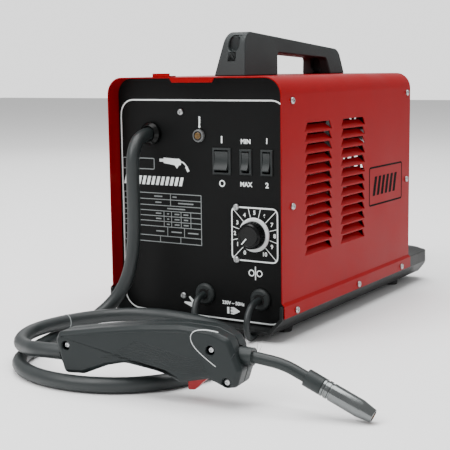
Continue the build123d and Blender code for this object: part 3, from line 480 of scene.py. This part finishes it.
def panelOutline():
    corner = circlePoints(93, 39, 22, 8, 270, 90)
    right = corner + circlePoints(97, 257, 18, 8, 0, 90)
    left = [(-x, y) for x, y in reversed(right)]
    return stroke(right + left, prints["line"], True)


def torchSign():
    handle = [(-22, 4), (-16, 4), (-16, 5.5), (4, 4.5), (6, 5), (9, 3), (9, -2.5), (6, -3)]
    handle += [(3.5, -7), (0, -3), (-16, -1), (-16, 0.5), (-22, 0.5)]
    neck = [(9, 1.2), (12, 0.6), (15.5, -2), (17.5, -5)]
    return [filled(handle), stroke(neck, 1.6), stroke([(16.6, -4.4), (19.8, -10.2)], 3.2)]


def thermometerSign():
    bars = [stroke([(0, -5.0), (0, 6.5)], 1.7), stroke(circlePoints(0, -5.5, 0.6, 10), 2.0, True)]
    for step in range(4):
        bars.append(stroke([(0.6, -1 + step * 2), (2.1, -1 + step * 2)], 0.5))
    return bars


def clampSign():
    jaw = [(9, -7.5), (9.5, 0.5), (1.5, 7.6), (-0.5, 6.6), (4.4, 0.2), (-6.5, 0.4), (-7.2, -1.4)]
    return [filled(jaw)]


def plugSign():
    shell = [(-4, -4), (0, -4.4), (4.2, -2.6), (9, 0), (4.2, 2.6), (0, 4.4), (-4, 4), (-4, 2.6), (0, 1.9)]
    shell += [(-4, 1.2), (-4, -1.2), (0, -1.9), (-4, -2.6)]
    return [filled(shell), filled([(-9, -4), (-6, -4), (-6, 4), (-9, 4)])]


def rollerSign():
    ring = [stroke(circlePoints(side * 5.3, 0, 3.4, 20), 1.3, True) for side in (-1, 1)]
    return ring + [stroke([(0, -8), (0, 8)], 1.3)]


ratingGrid = {"left": -113.5, "right": 0.0, "top": 162.5, "rows": (7.4, 7.4, 6.6, 6.4, 6.4, 6.4, 11.6, 7.6)}


def ratingLines():
    # an empty table: rows of different depth, columns only where they are needed
    left, right, top = ratingGrid["left"], ratingGrid["right"], ratingGrid["top"]
    lines = []
    heights = [top]
    for depth in ratingGrid["rows"]:
        heights.append(heights[-1] - depth)
    for height in heights:
        lines.append(stroke([(left, height), (right, height)], 0.9))
    for x in (left, right):
        lines.append(stroke([(x, heights[0]), (x, heights[-1])], 0.9))
    columns = ((-44.0, 0, 2), (-54.0, 3, 6), (-43.0, 3, 6), (-29.0, 3, 6), (-15.0, 3, 6))
    columns += ((-49.0, 6, 7), (-24.5, 6, 7), (-60.0, 7, 8), (-30.0, 7, 8))
    for x, first, last in columns:
        lines.append(stroke([(x, heights[first]), (x, heights[last])], 0.9))
    dashes = ((-62, 0, 12), (-38, 0, 6), (-62, 1, 9), (-22, 1, 22), (-36, 2, 26), (-62, 3, 8), (-48, 3, 3))
    dashes += ((-35, 3, 7), (-22, 3, 7), (-62, 4, 8), (-48, 4, 3), (-35, 4, 7), (-22, 4, 6))
    dashes += ((-48, 5, 4), (-35, 5, 7), (-22, 5, 7), (-60, 6, 12), (-36, 6, 15), (-12, 6, 15))
    for x, row, length in dashes:
        middle = (heights[row] + heights[row + 1]) / 2
        lines.append(stroke([(x - length / 2, middle), (x + length / 2, middle)], 1.5))
    return lines


def slantedBars(left, low, count, width, height, gap):
    bars = []
    for index in range(count):
        x = left + index * (width + gap)
        lean = height * 0.28
        foot = [(x, low), (x + width, low)]
        bars.append(filled(foot + [(x + width + lean, low + height), (x + lean, low + height)]))
    return bars


rockerX = [middleOf(node)[0] for node in ("main_rocker", "power_rocker", "range_rocker")]
inked = [onPanel(panelOutline())]
inked += [onPanel(part, -37.0, 200.5) for part in torchSign()]
inked += [onPanel(part, -0.8, 249.7) for part in thermometerSign()]
inked += [onPanel(part, -19.5, 31.8) for part in clampSign()]
inked += [onPanel(part, 43.5, 27.8) for part in plugSign()]
inked += [onPanel(words("230V ~ 50Hz", 5.6), 43.0, 36.8, flatten=1)]
inked += [onPanel(words("I", 11), rockerX[0], 229.2, flatten=1)]
inked += [onPanel(stroke(circlePoints(0, 0, 3.3, 24), 1.5, True), rockerX[0], 178.5)]
inked += [onPanel(words("MIN", 7.4), rockerX[1], 228.0, flatten=1)]
inked += [onPanel(words("MAX", 7.4), rockerX[1], 178.5, flatten=1)]
inked += [onPanel(words("1", 8.6), rockerX[2], 229.0, flatten=1)]
inked += [onPanel(words("2", 8.6), rockerX[2], 178.5, flatten=1)]
inked += [onPanel(part) for part in slantedBars(-113, 172.5, 13, 4.2, 10.5, 2.6)]
put(joined(inked), "panelPrint", inkWhite, "machine")
greyInk = [onPanel(part) for part in ratingLines()]
greyInk += [onPanel(stroke(roundedBox(-114, -67, 191.5, 204.5, 1.5, 4), 1.1, True))]
put(joined(greyInk), "ratingPrint", inkGrey, "machine")
print("stage: panel printed")


# dial: plate printing, silver disc, knob
dial = {
    "numbers": 11,
    "first": 210.0,
    "step": 30.0,
    "numberRadius": 25.5,
    "border": 1.7,
    "knobRadius": 16.2,
    "atRest": 12.0,
}
plateLow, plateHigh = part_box("dial_plate")
dialX, dialZ = middleOf("dial_plate")
plateFace = (panelFace - plateLow.y) / mm
halfWide = (plateHigh.x - plateLow.x) / 2 / mm - 1.4
halfTall = (plateHigh.z - plateLow.z) / 2 / mm - 1.4


def onDial(curve, flatten=0.06):
    return onPanel(curve, dialX, dialZ, plateFace + prints["proud"], flatten)


def clockwise(angle, radius):
    return radius * sin(radians(angle)), radius * cos(radians(angle))


def toBorder(angle):
    # the point of the plate's border in a direction
    x, y = clockwise(angle, 1.0)
    reach = min(halfWide / max(abs(x), 1e-6), halfTall / max(abs(y), 1e-6))
    return reach * x * 0.97, reach * y * 0.97


dialInk = [onDial(stroke(roundedBox(-halfWide, halfWide, -halfTall, halfTall, 6.5), dial["border"], True))]
for number in range(dial["numbers"]):
    angle = dial["first"] + number * dial["step"]
    x, y = clockwise(angle, dial["numberRadius"])
    lettering = words(str(number), 6.6)
    dialInk.append(onPanel(lettering, dialX + x * 1.04, dialZ + y, plateFace + prints["proud"], 1))
    if number < dial["numbers"] - 1:
        between = angle + dial["step"] / 2
        dialInk.append(onDial(stroke([clockwise(between, 20.5), toBorder(between)], 0.8)))
put(joined(dialInk), "dialPrint", inkWhite, "machine")


def spun(profile, place, steps=64):
    # a turned shape: radius and height pairs in mm round the local Z axis
    bm = bmesh.new()
    verts = [bm.verts.new((radius * mm, 0, height * mm)) for radius, height in profile]
    edges = [bm.edges.new(pair) for pair in zip(verts, verts[1:])]
    bmesh.ops.spin(
        bm,
        geom=verts + edges,
        cent=(0, 0, 0),
        axis=(0, 0, 1),
        angle=2 * pi,
        steps=steps,
        use_merge=True,
    )
    bmesh.ops.remove_doubles(bm, verts=bm.verts, dist=0.003 * mm)
    bmesh.ops.recalc_face_normals(bm, faces=bm.faces)
    bmesh.ops.transform(bm, matrix=place, verts=bm.verts)
    return bm


outOfPanel = Matrix.Rotation(radians(90), 4, "X")


def fromPanel(x, z, height):
    return Matrix.Translation((caseOrigin.x + x * mm, height, z * mm)) @ outOfPanel


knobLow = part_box("speed_knob")[0]
skirtLow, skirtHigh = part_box("knob_skirt")
skirtTall = (skirtHigh.y - skirtLow.y) / mm
knobTall = (skirtLow.y - knobLow.y) / mm
discRadius = (skirtHigh.x - skirtLow.x) / 2 / mm
disc = [(0, 0), (discRadius, 0), (discRadius, skirtTall * 0.55)]
disc += [(discRadius - 1.1, skirtTall), (0, skirtTall)]
knobRing = spun(disc, fromPanel(dialX, dialZ, skirtHigh.y))
put(knobRing, "knobDisc", finishes["knob_ring"], "knob", 40, ("knob_skirt",))
radius = dial["knobRadius"]
grip = [(0, 0), (radius, 0), (radius + 0.2, 0.8), (radius, 1.8), (radius - 0.8, knobTall - 3.2)]
grip += [(radius - 1.4, knobTall - 1.5), (radius - 2.6, knobTall - 0.5), (radius - 4.2, knobTall)]
grip += [(radius - 5.0, knobTall - 0.7), (0, knobTall - 0.9)]
knob = spun(grip, fromPanel(dialX, dialZ, skirtLow.y), 96)
shaftPlace = fromPanel(dialX, dialZ, skirtHigh.y + 12 * mm)
shaft = spun([(0, 0), (3, 0), (3, 13), (0, 13)], shaftPlace, 32)
shaftMesh = bpy.data.meshes.new("knobShaft")
shaft.to_mesh(shaftMesh)
shaft.free()
knob.from_mesh(shaftMesh)
put(knob, "knobGrip", finishes["knob_plastic"], "knob", 30, ("speed_knob",))
pointTo = dial["first"] + dial["atRest"]
pointer = stroke([clockwise(pointTo, 4.0), clockwise(pointTo, 13.2)], 1.5)
pointerUp = (panelFace - knobLow.y) / mm
pointerMesh = onPanel(pointer, dialX, dialZ, pointerUp - 0.05, 0.3)
putMesh(pointerMesh, "knobPointer", inkWhite, "knob")
onDialSign = [onPanel(part, dialX + 0.3, 75.6) for part in rollerSign()]
put(joined(onDialSign), "rollerPrint", inkWhite, "machine")
print("stage: dial and knob")


# torch: its plane comes from the trigger's pin
trigger = next(joint for joint in record["behaviour"]["joints"] if joint["name"] == "trigger_pull")
pinAxis = Vector(trigger["axis"]).normalized()
torch = {"pinAlong": 139.0, "thick": 34.0, "stepHighlight": 0.9, "ribs": 9}
along = Vector((pinAxis.y, -pinAxis.x, 0))
torchFoot = Vector(trigger["pos_m"]) - along * torch["pinAlong"] * mm
torchFoot.z = 0
sideways = -pinAxis


def onTorch(s, z, out=0.0):
    # along the handle, up from the floor, out towards the viewer, in mm
    return torchFoot + along * s * mm + Vector((0, 0, z * mm)) + sideways * out * mm


def torchPlace(out):
    columns = (along, Vector((0, 0, 1)), sideways)
    turn = Matrix([[column[row] for column in columns] for row in range(3)]).to_4x4()
    return Matrix.Translation(torchFoot + sideways * out * mm) @ turn


def smoothStroke(points, width, order=4, resolution=8):
    curve = bpy.data.curves.new("smoothStroke", "CURVE")
    curve.dimensions = "3D"
    spline = curve.splines.new("NURBS")
    spline.points.add(len(points) - 1)
    for corner, (x, y) in zip(spline.points, points):
        corner.co = (x * mm, y * mm, 0, 1)
    spline.order_u = order
    spline.use_endpoint_u = True
    spline.resolution_u = resolution
    curve.bevel_depth = width * mm / 2
    curve.bevel_resolution = 2
    curve.use_fill_caps = True
    return curve


half = torch["thick"] / 2
# painted highlight: a light line along the step edge round the torch's screw pocket, where the edge catches
# the light
stepHighlightLine = [(158, 73.2), (146, 75.0), (131.5, 73.5), (128.0, 64.5), (133.5, 55), (147, 45.5), (155, 40.5)]
stepHighlight = curveMesh(smoothStroke(stepHighlightLine, torch["stepHighlight"]), torchPlace(half - 0.25))
putMesh(stepHighlight, "torchStepHighlight", paintedStepHighlight, "machine")
ribs = []
for rib in range(torch["ribs"]):
    lift = rib * 2.3
    sweepLine = [(30 + rib * 5, 36 + lift), (62, 38.5 + lift), (86, 36.5 + lift), (106, 31.5 + lift)]
    sweepLine += [(124, 29 + lift * 0.9), (146 - rib, 34 + lift * 0.62)]
    ribs.append(curveMesh(smoothStroke(sweepLine, 0.9), torchPlace(half - 0.15)))
topEdge = [(-15, 53.5), (30, 59.5), (74, 66.0), (112, 69.0), (126, 69.2)]
ribs.append(curveMesh(smoothStroke(topEdge, 1.3), torchPlace(half - 0.35)))
put(joined(ribs), "torchRibs", finishes["torch_plastic"], "machine", 60)

nozzle = {
    "tail": (237.5, 35.5),
    "mouth": (300.5, 6.9),
    "sleeve": 17.0,
    "radius": 8.5,
    "taper": 13.0,
    "mouthRadius": 6.3,
    "wall": 1.2,
}
tail = onTorch(*nozzle["tail"])
mouth = onTorch(*nozzle["mouth"])
nozzleLong = (mouth - tail).length / mm
nozzlePlace = Matrix.Translation(tail) @ (mouth - tail).to_track_quat("Z", "Y").to_matrix().to_4x4()
r, wall, lip = nozzle["radius"], nozzle["wall"], nozzle["mouthRadius"]
start, bend = nozzle["sleeve"], nozzleLong - nozzle["taper"]
shape = [(3.2, start), (r - 0.7, start), (r - 0.1, start + 0.6), (r - 0.1, start + 2.6)]
shape += [(r - 0.9, start + 3.0), (r - 0.9, start + 4.2), (r - 0.1, start + 4.6), (r - 0.1, start + 7.6)]
shape += [(r - 0.9, start + 8.0), (r - 0.9, start + 9.2), (r - 0.05, start + 9.6), (r - 0.05, bend)]
shape += [(r - 0.4, bend + 1.5), (lip + 0.1, nozzleLong - 0.5), (lip - 0.3, nozzleLong)]
shape += [(lip - wall, nozzleLong), (r - wall - 0.3, bend), (r - wall - 0.2, start + 3.0)]
shape.append((3.2, start + 3.0))
shape.append(shape[0])
plated = finishes["nozzle_chrome"]
put(spun(shape, nozzlePlace, 72), "nozzleLook", plated, "machine", 26, ("gas_nozzle",))
print("stage: torch detail")


# leads: the route's points, then the turns of the put-away length, as one smooth line each
torchRoute = [
    (-0.0695, -0.2015, 0.2348),
    (-0.0695, -0.2260, 0.2348),
    (-0.0670, -0.2450, 0.2160),
    (-0.0660, -0.2480, 0.1850),
    (-0.0650, -0.2480, 0.1400),
    (-0.0670, -0.2490, 0.0960),
    (-0.0760, -0.2500, 0.0620),
    (-0.0900, -0.2580, 0.0360),
    (-0.1060, -0.2800, 0.0160),
    (-0.1130, -0.3070, 0.0082),
    (-0.1100, -0.3450, 0.0082),
    (-0.0990, -0.3850, 0.0082),
    (-0.0900, -0.4220, 0.0082),
    (-0.0660, -0.4550, 0.0082),
    (-0.0240, -0.4750, 0.0082),
    (0.0280, -0.4770, 0.0082),
    (0.0760, -0.4580, 0.0082),
    (0.1090, -0.4190, 0.0082),
    (0.1210, -0.3660, 0.0082),
    (0.1180, -0.3140, 0.0100),
    (0.0960, -0.2760, 0.0150),
    (0.0550, -0.2560, 0.0220),
    (0.0020, -0.2540, 0.0255),
    (-0.0420, -0.2570, 0.0255),
    (-0.0760, -0.2760, 0.0250),
    (-0.0990, -0.3120, 0.0248),
    (-0.1100, -0.3520, 0.0248),
    (-0.1080, -0.3920, 0.0248),
    (-0.0880, -0.4280, 0.0250),
    (-0.0580, -0.4490, 0.0270),
    (-0.0303, -0.4610, 0.0320),
    (0.0134, -0.4559, 0.0320),
]
earthRoute = [
    (0.0047, -0.2015, 0.0448),
    (0.0047, -0.2180, 0.0448),
    (0.0060, -0.2290, 0.0350),
    (0.0090, -0.2340, 0.0180),
    (0.0080, -0.2315, 0.0050),
    (0.0030, -0.2120, 0.0042),
    (-0.0080, -0.1750, 0.0042),
    (-0.0220, -0.1100, 0.0042),
    (-0.0260, -0.0200, 0.0042),
    (-0.0240, 0.0800, 0.0042),
    (-0.0340, 0.1650, 0.0042),
    (-0.0480, 0.2200, 0.0042),
    (-0.0620, 0.2620, 0.0042),
    (-0.0660, 0.3000, 0.0042),
]
mainsRoute = [
    (0.0810, -0.2015, 0.0453),
    (0.0810, -0.2220, 0.0453),
    (0.0823, -0.2360, 0.0340),
    (0.0830, -0.2405, 0.0180),
    (0.0815, -0.2320, 0.0050),
    (0.0770, -0.2120, 0.0040),
    (0.0640, -0.1780, 0.0040),
    (0.0460, -0.1180, 0.0040),
    (0.0400, -0.0300, 0.0040),
    (0.0430, 0.0600, 0.0040),
    (0.0520, 0.1400, 0.0040),
    (0.0560, 0.2050, 0.0040),
    (0.0530, 0.2620, 0.0040),
]


def coilTurns(node, size, firstAngle, turns, across=3, perTurn=16):
    # rings a diameter apart, the lower layer wound inwards and the upper one back out
    low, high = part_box(node)
    centreX, centreY = (low.x + high.x) / 2, (low.y + high.y) / 2
    outer = (high.x - low.x) / 2 - size / 2
    rings = [(outer - size * ring, low.z + size / 2) for ring in range(across)]
    rings += [(radius, low.z + size * 1.5) for radius, height in reversed(rings)]
    points = []
    for step in range(int(turns * perTurn) + 1):
        turn = step / perTurn
        ring = min(int(turn), len(rings) - 1)
        following = min(ring + 1, len(rings) - 1)
        blend = max(0.0, (turn - ring - 0.75) * 4)
        radius = rings[ring][0] * (1 - blend) + rings[following][0] * blend
        height = rings[ring][1] * (1 - blend) + rings[following][1] * blend
        angle = radians(firstAngle) + 2 * pi * turn
        spot = Vector((centreX + radius * cos(angle), centreY + radius * sin(angle), height))
        points.append(spot - caseOrigin)
    return points


def cordPiece(name, route, size, finish, nodes):
    curve = bpy.data.curves.new(name, "CURVE")
    curve.dimensions = "3D"
    spline = curve.splines.new("NURBS")
    spline.points.add(len(route) - 1)
    for corner, point in zip(spline.points, route):
        corner.co = (*(Vector(point) + caseOrigin), 1)
    spline.order_u = 3
    spline.use_endpoint_u = True
    spline.resolution_u = 8
    curve.bevel_depth = size / 2
    curve.bevel_resolution = 6
    curve.use_fill_caps = True
    curve.materials.append(finish.material)
    piece = bpy.data.objects.new(name, curve)
    bpy.context.collection.objects.link(piece)
    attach(piece, "machine")
    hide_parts(*nodes)
    return piece


torchLead = cordPiece("torchLead", torchRoute, 16 * mm, finishes["lead_rubber"], ("torch_lead",))
earthLine = earthRoute + coilTurns("earth_lead_coil", 8 * mm, -33.0, 5.34)
earthLine += [(-0.1220, 0.4115, 0.0124), (-0.1350, 0.4064, 0.0126)]  # off the coil and into the clamp
earthLine += [(-0.1460, 0.4060, 0.0125), (-0.1570, 0.4060, 0.0124)]
earthNodes = ("earth_lead", "earth_lead_coil")
earthLead = cordPiece("earthLead", earthLine, 8 * mm, finishes["lead_rubber"], earthNodes)
mainsLine = mainsRoute + coilTurns("mains_lead_coil", 7.5 * mm, -35.0, 5.56)
mainsLine += [(-0.0410, 0.3520, 0.0150), (-0.0365, 0.3420, 0.0180)]  # off the coil and into the plug
mainsLine += [(-0.0350, 0.3340, 0.0190), (-0.0350, 0.3270, 0.0190)]
mainsNodes = ("mains_lead", "mains_lead_coil")
mainsLead = cordPiece("mainsLead", mainsLine, 7.5 * mm, finishes["lead_rubber"], mainsNodes)
print("stage: leads laid")


# painted shade: flat black keyed shapes round the leads where they enter the front panel, in place of the
# shaded holes
gland = {"hole": 6.6, "notch": 11.2}


def keyedHole(node):
    x, z = middleOf(node)
    low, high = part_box(node)
    hole = circlePoints(x, z, gland["hole"], 28, 52, 346)
    notch = gland["notch"]
    reach = [(x + notch * cos(radians(turn)), z + notch * sin(radians(turn))) for turn in (41, 38)]
    return onPanel(filled(hole + reach[::-1]), 0, 0, (panelFace - low.y) / mm + 0.05)


lampX, lampZ = middleOf("lamp_lens")
lampUp = (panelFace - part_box("lamp_bezel")[0].y) / mm + 0.04
# painted shade: a flat black ring round the lamp lens where the gap falls into shade
lampGapShade = filled(circlePoints(lampX, lampZ, 5.7, 36), [circlePoints(lampX, lampZ, 4.0, 36)])
put(joined([onPanel(lampGapShade, proud=lampUp)]), "lampGapShade", shadowBlack, "machine")
# painted shade: flat black shapes in the two lead holes
holes = [keyedHole("earth_lead_gland"), keyedHole("mains_lead_gland")]
put(joined(holes), "glandHoleShade", shadowBlack, "machine")

# badge panel on the louvred side: a framed block with a plain striped motif
badge = {"front": 12.7, "rear": 119.2, "low": 131.8, "high": 181.0, "radius": 3.0, "line": 2.4}
wallX = caseOrigin.x / mm + 120.0


def onSide(curve, proud=0.08, flatten=0.06):
    # across -> Y, up -> Z, facing +X
    turn = Matrix(((0, 0, 1, 0), (1, 0, 0, 0), (0, 1, 0, 0), (0, 0, 0, 1)))
    squeeze = Matrix.Diagonal((1, 1, flatten, 1))
    return curveMesh(curve, Matrix.Translation(((wallX + proud) * mm, caseOrigin.y, 0)) @ turn @ squeeze)


frameLine = roundedBox(badge["front"], badge["rear"], badge["low"], badge["high"], badge["radius"])
badgeInk = [onSide(stroke(frameLine, badge["line"], True))]
for bar in slantedBars(badge["front"] + 10, badge["low"] + 12, 6, 8.0, 25, 5.0):
    badgeInk.append(onSide(bar))
put(joined(badgeInk), "badgePrint", inkBlack, "machine")

# light band round the upper strand of the torch lead
band = spun([(8.0, -0.6), (8.25, -0.6), (8.25, 0.6), (8.0, 0.6), (8.0, -0.6)], Matrix(), 48)
bandAt = Vector((-0.1040, -0.3300, 0.0248)) + caseOrigin
bandAlong = Vector((-0.0110, -0.0400, 0.0))
bandTurn = bandAlong.to_track_quat("Z", "Y").to_matrix().to_4x4()
bmesh.ops.transform(band, matrix=Matrix.Translation(bandAt) @ bandTurn, verts=band.verts)
put(band, "leadBand", inkGrey, "machine")
print("stage: badge and bands")


# floor, light and camera
studio = {"floor": 0.95, "world": 0.65, "backdrop": 1.75, "key": 64.0, "top": 170.0, "rim": 8.0}
bm = bmesh.new()
bmesh.ops.create_grid(bm, x_segments=2, y_segments=2, size=8.0)
floorMesh = bpy.data.meshes.new("floor")
bm.to_mesh(floorMesh)
bm.free()
floor = bpy.data.objects.new("floor", floorMesh)
bpy.context.collection.objects.link(floor)
floorFinish = Finish("floorPale", (studio["floor"],) * 3, {"Roughness": 0.9, "Specular IOR Level": 0.1})
floorMesh.materials.append(floorFinish.material)

world = bpy.data.worlds.new("studio")
bpy.context.scene.world = world
world.use_nodes = True
backdrop = world.node_tree.nodes["Background"]
backdrop.inputs["Color"].default_value = (1, 1, 1, 1)
rays = world.node_tree.nodes.new("ShaderNodeLightPath")
glow = world.node_tree.nodes.new("ShaderNodeMath")  # soft on the object, bright where the camera sees it
glow.operation = "MULTIPLY_ADD"
glow.inputs[1].default_value = studio["backdrop"] - studio["world"]
glow.inputs[2].default_value = studio["world"]
world.node_tree.links.new(rays.outputs["Is Camera Ray"], glow.inputs[0])
world.node_tree.links.new(glow.outputs["Value"], backdrop.inputs["Strength"])


def softbox(name, place, aim, size, power):
    light = bpy.data.lights.new(name, "AREA")
    light.shape = "RECTANGLE"
    light.size, light.size_y = size
    light.energy = power
    lamp = bpy.data.objects.new(name, light)
    bpy.context.collection.objects.link(lamp)
    lamp.location = Vector(place) + caseOrigin
    lamp.rotation_euler = (Vector(aim) - Vector(place)).to_track_quat("-Z", "Y").to_euler()
    return lamp


softbox("key", (-0.9, -2.4, 2.4), (0, 0, 0.15), (1.6, 1.2), studio["key"])
softbox("top", (0.0, -0.2, 3.2), (0, -0.1, 0.0), (3.0, 3.0), studio["top"])
softbox("rim", (-1.6, 1.8, 1.4), (0, 0, 0.2), (1.2, 1.2), studio["rim"])

view = {"place": (0.6940, -1.2658, 0.3132), "yaw": 31.87, "down": 8.34, "roll": -0.73, "lens": 86.3}
yaw, down, roll = radians(view["yaw"]), radians(view["down"]), radians(view["roll"])
forward = Vector((-sin(yaw) * cos(down), cos(yaw) * cos(down), -sin(down)))
level = Vector((cos(yaw), sin(yaw), 0))
upright = level.cross(forward)
rightHand = level * cos(roll) + upright * sin(roll)
overhead = upright * cos(roll) - level * sin(roll)
lensData = bpy.data.cameras.new("camera")
lensData.lens = view["lens"]
lensData.sensor_width = 36.0
camera = bpy.data.objects.new("camera", lensData)
bpy.context.collection.objects.link(camera)
turn = Matrix([[axis[row] for axis in (rightHand, overhead, -forward)] for row in range(3)]).to_4x4()
camera.matrix_world = Matrix.Translation(Vector(view["place"]) + caseOrigin) @ turn
bpy.context.scene.camera = camera
print("stage: studio ready")
